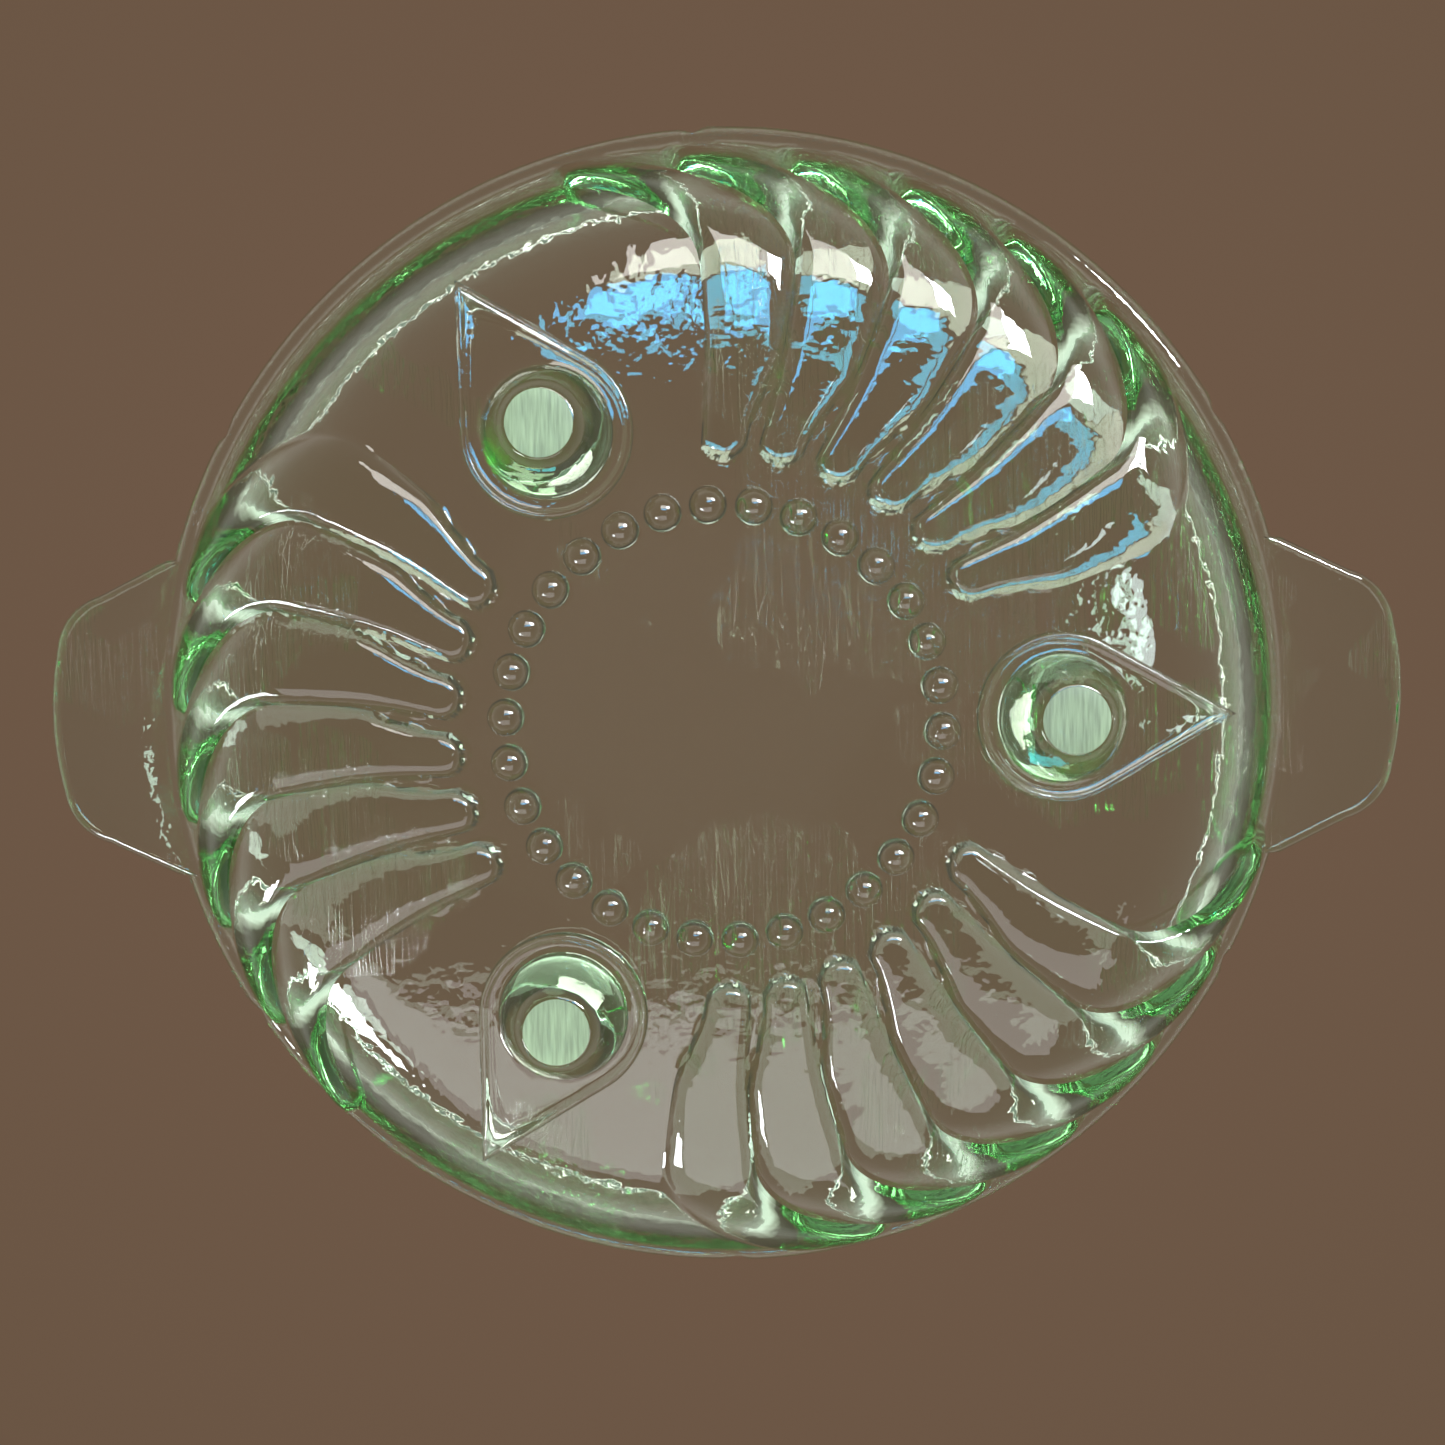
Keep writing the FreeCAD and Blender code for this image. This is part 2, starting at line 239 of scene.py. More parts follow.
# how far the valleys sink into the wall, and over how many flutes that fades at a panel's ends
VALLEY_SINK, SINK_FADE = 1.0 * MM, 0.6
# share of the relief that is lost towards the rim, and over which length
RIM_LOSS, RIM_LOSS_LENGTH = 0.5, 22 * MM
# distances from the rim between which the relief turns level
LEVEL_FROM, LEVEL_TO = 12 * MM, 3 * MM

# the rim seen from above: where the first fluted stretch lies, how much fuller it is and how
# quickly, and the notch at each of its ends
STRETCH_MIDDLE, STRETCH_HALF = math.radians(59), math.radians(31)
STRETCH_FULLER, STRETCH_EASE = 0.25 * MM, 0.01
NOTCH_WIDTH, NOTCH_DEPTH = math.radians(0.75), 1.2 * MM

# the rim's ledge: rounding of its lower edge, where it leaves the wall, and where the inside of
# the rim starts above the wall's top
UNDER_ROUNDING = 3.0 * MM
LEDGE_OVERHANG, LEDGE_DROP, LEDGE_LIFT = 0.5 * MM, 0.3 * MM, 0.2 * MM
INNER_START = 1.2 * MM


class Section:
    """The dish cut through its axis: a flat floor that eases into the straight sloping wall.

    A run is a length along the outside, from the axis. The wall's slope is found by halving, so
    that the wall reaches the rim at the right radius.
    """

    def __init__(self, sizes):
        self.thickness = FLOOR_TOP - FLOOR_UNDER
        self.wall_top = RIM[0][2]
        self.floor, self.bent = sizes.floor_radius, sizes.wall_start
        self.step = 0.2 * MM
        self.runs = np.arange(0.0, 2 * RIM_RADIUS, self.step)
        wall_radius = RIM_RADIUS - sizes.rim_step
        # the wall's slope is looked for between these, in radians
        low, high = 0.5, 1.5
        for _ in range(30):
            self.slope = (low + high) / 2
            self.draw()
            if np.interp(self.wall_top, self.heights, self.radii) > wall_radius:
                low = self.slope
            else:
                high = self.slope
        self.length = float(np.interp(self.wall_top, self.heights, self.runs))

    def angle(self, run):
        return self.slope * smoothstep(self.floor, self.bent, run)

    def draw(self):
        """Radii and heights along the outside, summed from the slope at the middle of each step."""
        middle = self.angle(self.runs[:-1] + self.step / 2)
        self.radii = np.append(0.0, np.cumsum(np.cos(middle)) * self.step)
        self.heights = FLOOR_UNDER + np.append(0.0, np.cumsum(np.sin(middle)) * self.step)

    def at(self, run, inset=0.0):
        """Radius, height and outward normal after a run along the outside from the axis."""
        normal_r, normal_z = np.sin(self.angle(run)), -np.cos(self.angle(run))
        r = np.interp(run, self.runs, self.radii) - inset * normal_r
        z = np.interp(run, self.runs, self.heights) - inset * normal_z
        return r, z, normal_r, normal_z


def swirl(section, sizes, run):
    """Angle that the pattern has turned: a slight lean on the floor, then an S up the wall."""
    start = sizes.flute_start
    lean = sizes.floor_lean * (1 - smoothstep(start, start + FINGER_LENGTH, run))
    shoulder = sizes.shoulder_turn * smoothstep(sizes.turn_start, sizes.turn_end, run)
    risen = np.clip((run - section.floor) / (section.length - section.floor), 0.0, 1.0)
    return -lean - shoulder - sizes.wall_turn * risen


def flute_relief(section, sizes, run, r, phase):
    """Height of the flutes; phase counts flutes from the first edge of a swirled panel.

    On the floor a flute is a finger with a round inner end and a flat top. On the wall it is as
    wide as its pitch, its crest leans to one side, and the valleys sink a little.
    """
    count = sizes.flute_count
    inside = (phase >= 0) & (phase < count)
    cell = np.where(inside, phase % 1.0, 0.0)
    start = sizes.flute_start
    pitch = r * sizes.flute_pitch
    half = sizes.finger_width / 2
    width = pitch - (pitch - 2 * half) * (1 - smoothstep(start, start + FINGER_LENGTH, run))
    share = np.clip(0.5 + (cell - 0.5) * pitch / width, 0.0, 1.0)
    leaning = smoothstep(start + LEAN_PAST_START, section.floor + LEAN_PAST_FLOOR, run)
    across = 2 * share ** (1 - CREST_SHIFT * leaning) - 1
    before = np.clip((start + half - run) / half, 0.0, 1.0)
    away = np.minimum(across ** 2 + before ** 2, 1.0)
    flatness = FLOOR_FLATNESS - FLATNESS_LOST * leaning
    steepness = FLOOR_STEEPNESS + STEEPNESS_GAINED * leaning
    hump = (1 - away ** flatness) ** steepness
    growth = smoothstep(section.floor - GROWTH_BEFORE_WALL, section.bent, run)
    depth = sizes.floor_depth + (sizes.wall_depth - sizes.floor_depth) * growth
    between = smoothstep(0.0, SINK_FADE, phase) * smoothstep(0.0, SINK_FADE, count - phase)
    near_rim = 1 - RIM_LOSS * smoothstep(section.length - RIM_LOSS_LENGTH, section.length, run)
    return np.where(inside, (hump * depth - between * growth * VALLEY_SINK) * near_rim, 0.0)


def rim_outline(azimuth):
    """Change of the rim's radius: six notches, with the fluted stretches a little fuller."""
    offset = (azimuth - STRETCH_MIDDLE + THIRD / 2) % THIRD - THIRD / 2
    past_end = np.abs(offset) - STRETCH_HALF
    notch = np.exp(-((past_end / NOTCH_WIDTH) ** 2))
    fuller = STRETCH_FULLER * (1 - smoothstep(-STRETCH_EASE, STRETCH_EASE, past_end))
    return fuller - NOTCH_DEPTH * notch


def bowl_runs(section, sizes):
    """Places of the rings along the outside, closer where the surface bends.

    Each stretch is its first run, its last run and the number of rings in it.
    """
    start = sizes.flute_start
    stretches = ((2 * MM, start - 2 * MM, 7),
                 (start - 1 * MM, start + 6 * MM, 14),
                 (start + 7 * MM, section.floor - 1 * MM, 16),
                 (section.floor, section.bent, 30),
                 (section.bent + MM, section.length - 1.6 * MM, 30))
    return np.concatenate([np.linspace(*stretch) for stretch in stretches])


def inner_runs(section):
    """Places of the rings along the smooth inside, from the rim back to the axis."""
    return np.concatenate([np.linspace(section.length, section.bent + MM, 7),
                           np.linspace(section.bent, section.floor, 18),
                           np.linspace(section.floor - 8 * MM, 10 * MM, 5)])


def rim_profile(section, sizes):
    """The ledge round the mouth, from under its outer edge over the top to the inside."""
    lip, under = sizes.lip_radius, UNDER_ROUNDING
    inner = section.at(section.length, section.thickness)[0]
    low = section.wall_top
    profile = [(RIM_RADIUS - sizes.rim_step + LEDGE_OVERHANG, low - LEDGE_DROP)]
    # centre, height, radius, first and last angle in degrees, and points of each rounded edge
    corners = ((RIM_RADIUS - under, low + LEDGE_LIFT + under, under, -90, 0, 8),
               (RIM_RADIUS - lip, RIM_TOP - lip, lip, 0, 90, 8),
               (inner + lip, RIM_TOP - lip, lip, 90, 180, 7))
    for centre, height, radius, first, last, count in corners:
        for angle in np.radians(np.linspace(first, last, count)):
            profile.append((centre + radius * math.cos(angle), height + radius * math.sin(angle)))
    return profile + [(inner, low + INNER_START)]


def bowl_columns(sizes):
    """Place in the pattern and azimuth of each column, with one column in every valley."""
    count = sizes.flute_count
    fluted = np.arange(count * COLUMNS_PER_FLUTE) / COLUMNS_PER_FLUTE
    plain = np.linspace(count, THIRD / sizes.flute_pitch, PLAIN_COLUMNS, endpoint=False)
    phase = np.concatenate([fluted, plain])
    first = sizes.flute_centre - count * sizes.flute_pitch / 2
    base = [first + panel * THIRD + phase * sizes.flute_pitch for panel in range(PANELS)]
    return np.tile(phase, PANELS), np.concatenate(base)


def press_bowl(sizes):
    """The bowl as one closed skin: outside, round lip, then the smooth inside."""
    section = Section(sizes)
    phase, base = bowl_columns(sizes)
    rings = []

    def ring(azimuth, radius, height):
        rings.append(np.column_stack([radius * np.cos(azimuth), radius * np.sin(azimuth),
                                      np.broadcast_to(height, azimuth.shape)]))

    for run in bowl_runs(section, sizes):
        r, z, normal_r, normal_z = section.at(run)
        out = flute_relief(section, sizes, run, r, phase)
        # near the rim the relief only stands outwards, so that the ledge starts level
        lift = 1 - smoothstep(section.length - LEVEL_FROM, section.length - LEVEL_TO, run)
        ring(base + swirl(section, sizes, run), r + out * normal_r, z + out * normal_z * lift)
    azimuth = base + swirl(section, sizes, section.length)
    outline = rim_outline(azimuth)
    for radius, height in rim_profile(section, sizes):
        share = max(0.0, 1 - (RIM_RADIUS - radius) / sizes.lip_radius)
        ring(azimuth, radius + outline * share, height)
    for run in inner_runs(section):
        r, z = section.at(run, section.thickness)[:2]
        ring(base + swirl(section, sizes, run), np.full(len(base), r), z)
    return closed_loft("pressed_bowl", rings)


# ------------------------------------------------------------------ beads, feet, handles

# how deep a bead's root reaches into the floor
BEAD_ROOT = 1.2 * MM

# how far the middle line of the pad's ridge keeps inside the pad's box, at its side and its point
PAD_INSET, POINT_INSET = 0.6 * MM, 1 * MM
# the ridge across, in millimetres: distance outside that line and depth under the floor
PAD_RIDGE = ((0.75, -1.2), (0.72, 0.0), (0.42, 0.52), (0.15, 0.72), (-0.15, 0.72),
             (-0.45, 0.55), (-0.85, 0.3), (-1.5, 0.22))
GROOVE_DEPTH = 0.22 * MM
# how closely the columns crowd towards the point, so that it stays sharp
POINT_CROWDING = 0.45

TIP_RADIUS = 6.1 * MM
# the ground tip, in millimetres: distance in from its edge and height above the table
TIP_EDGE = ((0.1, 0.28), (0.3, 0.1), (0.65, 0.0), (3.0, 0.0), (5.6, 0.0))
# the fillet between the groove and the cone
FILLET_WIDTH, FILLET_EDGE, FILLET_DEPTH = 0.7 * MM, 0.2 * MM, 0.35 * MM
# the cone: its depth under the floor where it starts, and how far its side bulges
CONE_START = 0.8 * MM
CONE_BULGE = 0.7 * MM

# the handle's root: how deep it lies in the rim, and how much wider it is there on each side
ROOT_REACH, ROOT_WIDER = 9 * MM, 2 * MM
# half the handle's width at its end, and the slight bow of that end
END_HALF = 24.5 * MM
END_BOW = 1.6 * MM
# its round corners: radius, how far in their centres lie (in radii), and the angle they end at
CORNER_RADIUS, CORNER_DROP, CORNER_END = 13 * MM, 0.86, 0.12
EDGE_ROUNDING = 1.5 * MM
# how far the tab keeps under the top and above the underside of the handle's box
LEVEL_GAP, UNDER_GAP = 0.2 * MM, 0.3 * MM


def lathe(name, profile, segments, place):
    """A closed turned solid under the floor; profile is radius and depth below the floor."""
    angles = np.arange(segments) * 2 * math.pi / segments
    rings = [np.stack([place[0] + radius * np.cos(angles), place[1] + radius * np.sin(angles),
                       np.full(segments, FLOOR_UNDER - depth)], axis=1)
             for radius, depth in profile]
    return closed_loft(name, rings)


def press_beads(sizes):
    """The ring of beads, each a flattened dome with its root in the floor."""
    radius, height = sizes.bead_radius, sizes.bead_height
    ball = (radius ** 2 + height ** 2) / (2 * height)
    widest = math.asin(radius / ball)
    profile = [(radius, -BEAD_ROOT)]
    for angle in np.linspace(widest, 0.06, 8):
        profile.append((ball * math.sin(angle), ball * math.cos(angle) - ball + height))
    for index in range(sizes.bead_count):
        azimuth = sizes.bead_azimuth + index * 2 * math.pi / sizes.bead_count
        place = (sizes.bead_circle * math.cos(azimuth), sizes.bead_circle * math.sin(azimuth))
        lathe(f"bead_{index + 1}", profile, BEAD_SEGMENTS, place)


def drop_outline(angles, round_radius, reach, offset):
    """Distance from the middle to a drop's outline, moved out by offset along its normal."""
    touch = math.acos(round_radius / reach)
    turned = np.abs((angles + math.pi) % (2 * math.pi) - math.pi)
    straight = (round_radius + offset) / np.cos(np.minimum(touch - turned, touch))
    return np.where(turned < touch, straight, round_radius + offset)


def press_foot(index):
    """A foot with its drop-shaped pad: a raised outline, a shallow groove and the cone."""
    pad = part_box("foot_pad_1")
    round_radius = (pad[1][1] - pad[0][1]) / 2 - PAD_INSET
    reach = pad[1][0] - FOOT_CIRCLE - POINT_INSET
    even = np.arange(FOOT_SEGMENTS) * 2 * math.pi / FOOT_SEGMENTS
    angles = even - POINT_CROWDING * np.sin(even)
    rings = []

    def ring(distance, depth):
        """One ring at a distance from the foot's middle, the same all round or one per angle."""
        around = np.broadcast_to(distance, angles.shape)
        rings.append(np.stack([around * np.cos(angles), around * np.sin(angles),
                               np.full(FOOT_SEGMENTS, -depth)], axis=1))

    for offset, depth in PAD_RIDGE:
        ring(drop_outline(angles, round_radius, reach, offset * MM), depth * MM)
    inner = drop_outline(angles, round_radius, reach, PAD_RIDGE[-1][0] * MM)
    for share in (0.35, 0.7, 1.0):
        ring(inner + (FOOT_BASE + FILLET_WIDTH - inner) * share, GROOVE_DEPTH)
    narrowing = FOOT_BASE - TIP_RADIUS
    ring(FOOT_BASE + FILLET_EDGE, FILLET_DEPTH)
    ring(FOOT_BASE - 0.02 * narrowing, CONE_START)
    for share in np.linspace(0.12, 0.93, 9):
        bulge = CONE_BULGE * math.sin(math.pi * share)
        ring(FOOT_BASE - narrowing * share + bulge,
             CONE_START + (FLOOR_UNDER - CONE_START) * share)
    for inset, short in TIP_EDGE:
        ring(TIP_RADIUS - inset * MM, FLOOR_UNDER - short * MM)
    foot = closed_loft(f"foot_{index + 1}_glass", rings)
    place = Matrix.Translation((FOOT_CIRCLE, 0, FLOOR_UNDER))
    foot.data.transform(Matrix.Rotation(index * THIRD, 4, "Z") @ place)


def handle_outline():
    """The tab seen from above, on the +X side: straight sloping sides and two round corners."""
    end = HANDLE[1][0]
    root_half = (HANDLE[1][1] - HANDLE[0][1]) / 2 + ROOT_WIDER
    root_x = RIM_RADIUS - ROOT_REACH
    corner = CORNER_RADIUS
    points = [(root_x, -root_half), (RIM_RADIUS - 3 * MM, -root_half + 0.5 * MM)]
    slope = math.atan2(root_half - END_HALF, end - root_x)
    centre = Vector((end - END_BOW - corner, -(END_HALF - corner * CORNER_DROP)))
    for angle in np.linspace(-math.pi / 2 + slope, -CORNER_END, 12):
        points.append((centre.x + corner * math.cos(angle), centre.y + corner * math.sin(angle)))
    side = points[-1]
    for share in np.linspace(0, 1, 7)[1:]:
        y = side[1] * (1 - share)
        points.append((end - (end - side[0]) * (y / side[1]) ** 2, y))
    points += [(x, -y) for x, y in reversed(points[:-1])]
    return np.array(points)


def press_handle(name, side):
    """A flat tab with rounded edges, its root sunk into the rim."""
    outline = handle_outline()
    before, after = np.roll(outline, 1, axis=0), np.roll(outline, -1, axis=0)
    along = after - before
    normal = np.stack([along[:, 1], -along[:, 0]], axis=1)
    normal /= np.linalg.norm(normal, axis=1)[:, None]
    top, low = HANDLE[1][2] - LEVEL_GAP, HANDLE[0][2] + UNDER_GAP
    edge = EDGE_ROUNDING
    rings = []
    for middle, first in ((low + edge, -90), (top - edge, 0)):
        for angle in np.radians(np.linspace(first, first + 90, 6)):
            flat = outline - normal * edge * (1 - math.cos(angle))
            height = np.full(len(flat), middle + edge * math.sin(angle))
            rings.append(np.column_stack([flat, height]))
    tab = closed_loft(name, rings)
    if side < 0:
        tab.data.transform(Matrix.Rotation(math.pi, 4, "Z"))


def fuse(bowl, parts):
    """Unite the bowl with everything pressed onto it and leave one object."""
    vertices, faces = [], []
    for part in parts:
        first = len(vertices)
        vertices += [v.co.copy() for v in part.data.vertices]
        faces += [tuple(first + i for i in p.vertices) for p in part.data.polygons]
    tool = object_from("pressed_on", vertices, faces)
    modifier = bowl.modifiers.new("fuse", "BOOLEAN")
    modifier.operation = "UNION"
    modifier.solver = "MANIFOLD"
    modifier.object = tool
    graph = bpy.context.evaluated_depsgraph_get()
    united = bpy.data.meshes.new_from_object(bowl.evaluated_get(graph))
    dish = bpy.data.objects.new("pressed_glass_dish", united)
    united.name = "pressed_glass_dish"
    bpy.context.scene.collection.objects.link(dish)
    for spent in [bowl, tool] + parts:
        mesh = spent.data
        bpy.data.objects.remove(spent)
        bpy.data.meshes.remove(mesh)
    united.polygons.foreach_set("use_smooth", [True] * len(united.polygons))
    united.set_sharp_from_angle(angle=SHARP_EDGE)
    return dish


# ------------------------------------------------------------------ glass

GLASS_IOR = 1.52

# the polished skin: how finely it swells, and the strength of that relief
PEEL_SIZE = 260.0
SKIN_BUMP, SKIN_BUMP_HEIGHT = 0.5, 0.00018
# its scratches: the webs they form, each as its turn and fineness, how long and wide they are,
# how deep they cut, and how rough they make the skin
SCRATCH_SHARE = 0.5
SCRATCH_WEBS = ((0.4, 550.0), (1.7, 800.0), (2.6, 380.0))
SCRATCH_STRETCH, SCRATCH_WIDTH = 0.045, 0.004
SCRATCH_CUT = -0.5
SCRATCH_ROUGHNESS = 0.12
# the patches that are scratched: their fineness, and the limit above which noise is a patch
SCRATCH_PATCHES, PATCH_LIMIT = 30.0, 0.55

# tint that each surface of the glass gives to the light it lets through onto other things
SHADOW_TINT = (0.72, 0.93, 0.70, 1.0)

# the ground tips: direction, length and fineness of the lines that grinding left
GRIND_TURN, GRIND_STRETCH, GRIND_FINENESS = 0.6, 0.07, 2200.0
# their two colours, each with its place on the scale from dark to light lines
GRIND_DARK = (0.35, (0.06, 0.09, 0.06, 1.0))
GRIND_LIGHT = (0.68, (0.12, 0.18, 0.12, 1.0))
# how much rougher the light lines are, how clear the tips are, and their relief
GRIND_GRAIN = 0.3
GRIND_CLEARNESS = 0.94
GRIND_BUMP, GRIND_BUMP_HEIGHT = 0.5, 0.00005


def group_socket(group, name, default=None, output=False):
    """A number that goes into or comes out of a node group."""
    socket = group.interface.new_socket(name=name, in_out="OUTPUT" if output else "INPUT",
                                        socket_type="NodeSocketFloat")
    if default is not None:
        socket.default_value = default


def math_node(nodes, links, operation, *values):
    """The result of a Math node whose inputs are numbers or other nodes' outputs."""
    node = nodes.new("ShaderNodeMath")
    node.operation = operation
    for socket, value in zip(node.inputs, values):
        if isinstance(value, (int, float)):
            socket.default_value = value
        else:
            links.new(value, socket)
    return node.outputs[0]


def stretched_noise(nodes, links, place, turn, stretch, fineness, detail):
    """Noise drawn out into lines in one direction."""
    mapping = nodes.new("ShaderNodeMapping")
    mapping.inputs["Rotation"].default_value = (0.0, 0.0, turn)
    mapping.inputs["Scale"].default_value = (1.0, stretch, 1.0)
    links.new(place.outputs["Object"], mapping.inputs["Vector"])
    lines = nodes.new("ShaderNodeTexNoise")
    lines.inputs["Scale"].default_value = fineness
    lines.inputs["Detail"].default_value = detail
    links.new(mapping.outputs["Vector"], lines.inputs["Vector"])
    return lines.outputs["Fac"]


def bump_normal(nodes, links, height, strength, distance):
    """Normal of a surface with that relief."""
    bump = nodes.new("ShaderNodeBump")
    bump.inputs["Strength"].default_value = strength
    bump.inputs["Distance"].default_value = distance
    links.new(height, bump.inputs["Height"])
    return bump.outputs["Normal"]


def pressed_skin_group():
    """Fire-polished skin: a slow orange-peel swell and a web of fine scratches from use."""
    group = bpy.data.node_groups.new("pressed_skin", "ShaderNodeTree")
    group_socket(group, "Peel Size", PEEL_SIZE)
    group_socket(group, "Scratch Share", SCRATCH_SHARE)
    group_socket(group, "Height", output=True)
    group_socket(group, "Scratches", output=True)
    nodes, links = group.nodes, group.links
    entry, leave = nodes.new("NodeGroupInput"), nodes.new("NodeGroupOutput")
    place = nodes.new("ShaderNodeTexCoord")
    peel = nodes.new("ShaderNodeTexNoise")
    peel.inputs["Detail"].default_value = 2.0
    peel.inputs["Roughness"].default_value = 0.45
    links.new(place.outputs["Object"], peel.inputs["Vector"])
    links.new(entry.outputs["Peel Size"], peel.inputs["Scale"])
    web = 0.0
    for turn, fineness in SCRATCH_WEBS:
        lines = stretched_noise(nodes, links, place, turn, SCRATCH_STRETCH, fineness, 1.0)
        off = math_node(nodes, links, "SUBTRACT", lines, 0.5)
        close = math_node(nodes, links, "ABSOLUTE", off)
        line = math_node(nodes, links, "LESS_THAN", close, SCRATCH_WIDTH)
        web = math_node(nodes, links, "MAXIMUM", web, line)
    patch = nodes.new("ShaderNodeTexNoise")
    patch.inputs["Scale"].default_value = SCRATCH_PATCHES
    links.new(place.outputs["Object"], patch.inputs["Vector"])
    here = math_node(nodes, links, "GREATER_THAN", patch.outputs["Fac"], PATCH_LIMIT)
    kept = math_node(nodes, links, "MULTIPLY", web, here)
    shown = math_node(nodes, links, "MULTIPLY", kept, entry.outputs["Scratch Share"])
    links.new(shown, leave.inputs["Scratches"])
    cut = math_node(nodes, links, "MULTIPLY", shown, SCRATCH_CUT)
    height = math_node(nodes, links, "ADD", peel.outputs["Fac"], cut)
    links.new(height, leave.inputs["Height"])
    return group


def green_glass(look):
    """Clear glass that turns green with depth, by absorption inside it."""
    material = bpy.data.materials.new("pale_green_glass")
    material.use_nodes = True
    nodes, links = material.node_tree.nodes, material.node_tree.links
    nodes.clear()
    out = nodes.new("ShaderNodeOutputMaterial")
    glass = nodes.new("ShaderNodeBsdfPrincipled")
    glass.inputs["Base Color"].default_value = (1.0, 1.0, 1.0, 1.0)
    glass.inputs["Metallic"].default_value = 0.0
    glass.inputs["IOR"].default_value = GLASS_IOR
    glass.inputs["Transmission Weight"].default_value = 1.0

    skin = nodes.new("ShaderNodeGroup")
    skin.node_tree = pressed_skin_group()
    worn = math_node(nodes, links, "MULTIPLY", skin.outputs["Scratches"], SCRATCH_ROUGHNESS)
    rough = math_node(nodes, links, "ADD", worn, look.polish)
    links.new(rough, glass.inputs["Roughness"])
    normal = bump_normal(nodes, links, skin.outputs["Height"], SKIN_BUMP, SKIN_BUMP_HEIGHT)
    links.new(normal, glass.inputs["Normal"])

    path = nodes.new("ShaderNodeLightPath")
    clear = nodes.new("ShaderNodeBsdfTransparent")
    clear.inputs["Color"].default_value = SHADOW_TINT
    mix = nodes.new("ShaderNodeMixShader")
    links.new(path.outputs["Is Shadow Ray"], mix.inputs["Fac"])
    links.new(glass.outputs["BSDF"], mix.inputs[1])
    links.new(clear.outputs["BSDF"], mix.inputs[2])
    links.new(mix.outputs[0], out.inputs["Surface"])

    inside = nodes.new("ShaderNodeVolumeAbsorption")
    inside.inputs["Color"].default_value = (*look.tint, 1.0)
    inside.inputs["Density"].default_value = look.tint_density
    links.new(inside.outputs["Volume"], out.inputs["Volume"])
    return material


def ground_glass(look):
    """Frosted pale green glass of the foot tips, with the lines that grinding left."""
    material = bpy.data.materials.new("ground_tip_glass")
    material.use_nodes = True
    nodes, links = material.node_tree.nodes, material.node_tree.links
    frosted = nodes["Principled BSDF"]
    frosted.inputs["Transmission Weight"].default_value = GRIND_CLEARNESS
    frosted.inputs["IOR"].default_value = GLASS_IOR
    place = nodes.new("ShaderNodeTexCoord")
    lines = stretched_noise(nodes, links, place, GRIND_TURN, GRIND_STRETCH, GRIND_FINENESS, 3.0)
    shade = nodes.new("ShaderNodeValToRGB")
    for stop, (position, colour) in zip(shade.color_ramp.elements, (GRIND_DARK, GRIND_LIGHT)):
        stop.position = position
        stop.color = colour
    links.new(lines, shade.inputs["Fac"])
    links.new(shade.outputs["Color"], frosted.inputs["Base Color"])
    rough = math_node(nodes, links, "MULTIPLY_ADD", lines, GRIND_GRAIN, look.ground)
    links.new(rough, frosted.inputs["Roughness"])
    normal = bump_normal(nodes, links, lines, GRIND_BUMP, GRIND_BUMP_HEIGHT)
    links.new(normal, frosted.inputs["Normal"])
    return material


# ------------------------------------------------------------------ operators for the pieces

class DISH_OT_bowl(bpy.types.Operator):
    """Press the bowl with its swirled and plain panels"""
    bl_idname = "dish.bowl"
    bl_label = "Bowl"

    def execute(self, context):
        press_bowl(context.scene.dish_sizes)
        return {"FINISHED"}


class DISH_OT_beads(bpy.types.Operator):
    """Add the ring of beads under the floor"""
    bl_idname = "dish.beads"
    bl_label = "Beads"

    def execute(self, context):
        press_beads(context.scene.dish_sizes)
        return {"FINISHED"}


class DISH_OT_feet(bpy.types.Operator):
    """Add the three feet with their drop-shaped pads"""
    bl_idname = "dish.feet"
    bl_label = "Feet"

    def execute(self, context):
        for index in range(PANELS):
            press_foot(index)
        return {"FINISHED"}


class DISH_OT_handles(bpy.types.Operator):
    """Add the two tab handles"""
    bl_idname = "dish.handles"
    bl_label = "Handles"

    def execute(self, context):
        press_handle("tab_left_glass", -1)
        press_handle("tab_right_glass", 1)
        return {"FINISHED"}


# faces nearer to the table than this are the ground tips
TIP_PLANE = 0.02 * MM


class DISH_OT_fuse(bpy.types.Operator):
    """Fuse the pressed parts into one skin of glass and give it its material"""
    bl_idname = "dish.fuse"
    bl_label = "Fuse the Glass"

    def execute(self, context):
        bowl = bpy.data.objects["pressed_bowl"]
        parts = [piece for piece in bpy.data.objects
                 if piece.name.startswith(("bead_", "foot_", "tab_"))
                 and piece.name not in frame["nodes"]]
        dish = fuse(bowl, parts)
        if not dish.data.polygons:
            raise RuntimeError("the pressed parts did not fuse")
        look = context.scene.dish_glass
        dish.data.materials.clear()
        dish.data.materials.append(green_glass(look))
        dish.data.materials.append(ground_glass(look))
        for face in dish.data.polygons:
            face.material_index = 1 if face.center.z < TIP_PLANE else 0
        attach(dish, "root")
        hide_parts(*GLASS_NODES)
        return {"FINISHED"}


# ------------------------------------------------------------------ stage

# the floor: its paint, half its width, and its level just under the feet
FLOOR_COLOUR = (0.70, 0.67, 0.62, 1.0)
FLOOR_ROUGHNESS = 0.75
FLOOR_HALF = 12.0
FLOOR_LEVEL = -0.2 * MM

# brightness of the surroundings by height: straight down is 0, the horizon 0.5, overhead 1
WORLD_BANDS = ((0.0, (0.12, 0.13, 0.12, 1.0)),
               (0.30, (0.38, 0.40, 0.38, 1.0)),
               (0.44, (0.92, 0.95, 0.91, 1.0)),
               (0.53, (0.98, 0.98, 0.94, 1.0)),
               (0.60, (0.50, 0.47, 0.43, 1.0)),
               (0.68, (0.12, 0.095, 0.075, 1.0)),
               (0.86, (0.075, 0.055, 0.042, 1.0)),
               (0.89, (0.145, 0.092, 0.058, 1.0)),
               (1.0, (0.16, 0.10, 0.065, 1.0)))

